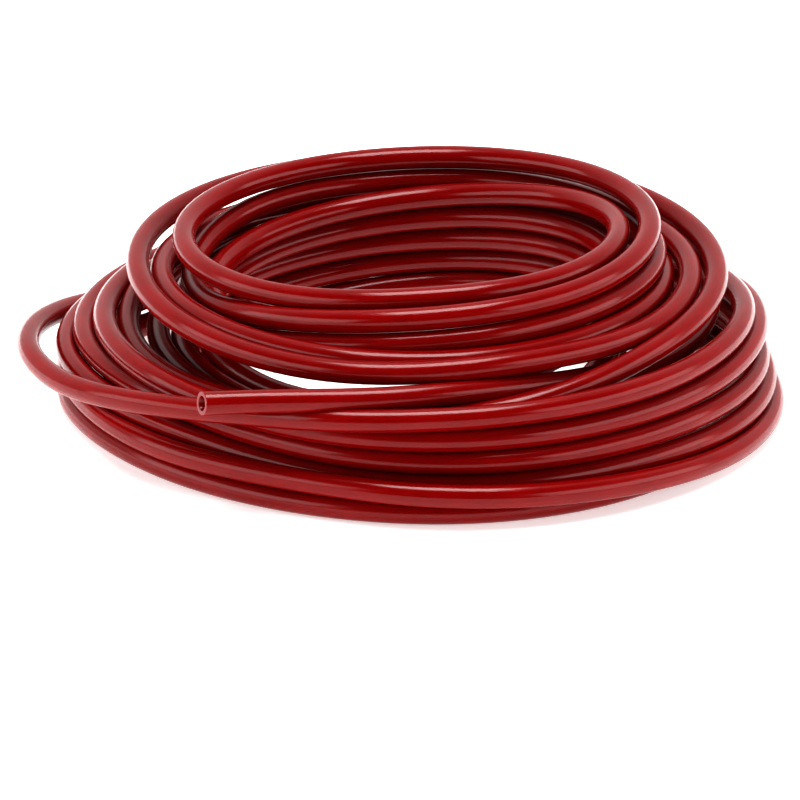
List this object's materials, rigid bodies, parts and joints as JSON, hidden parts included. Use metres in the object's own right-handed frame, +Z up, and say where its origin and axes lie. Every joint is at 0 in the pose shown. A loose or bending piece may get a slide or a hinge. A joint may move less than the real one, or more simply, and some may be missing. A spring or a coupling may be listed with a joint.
{
  "type": "coiled air hose",
  "caption": "Hank of plain red plastic air line wound into a loose flat ring, one loop swinging out and a free end lying across the front.",
  "frame": {"origin": "on the floor, under the middle of the hank's bounding box", "axes": "+Z up along the ring's axis; -Y is the side the free end lies on; the cut face looks along -X"},
  "size_m": [0.2626, 0.2496, 0.071],
  "materials": {
    "hose": "satin red extruded polyurethane"
  },
  "bodies": {
    "root": {"lower_turns": "hose", "inner_turns": "hose", "upper_turns": "hose", "loose_loop": "hose", "free_end": "hose", "cut_end": "hose"}
  },
  "joints": []
}
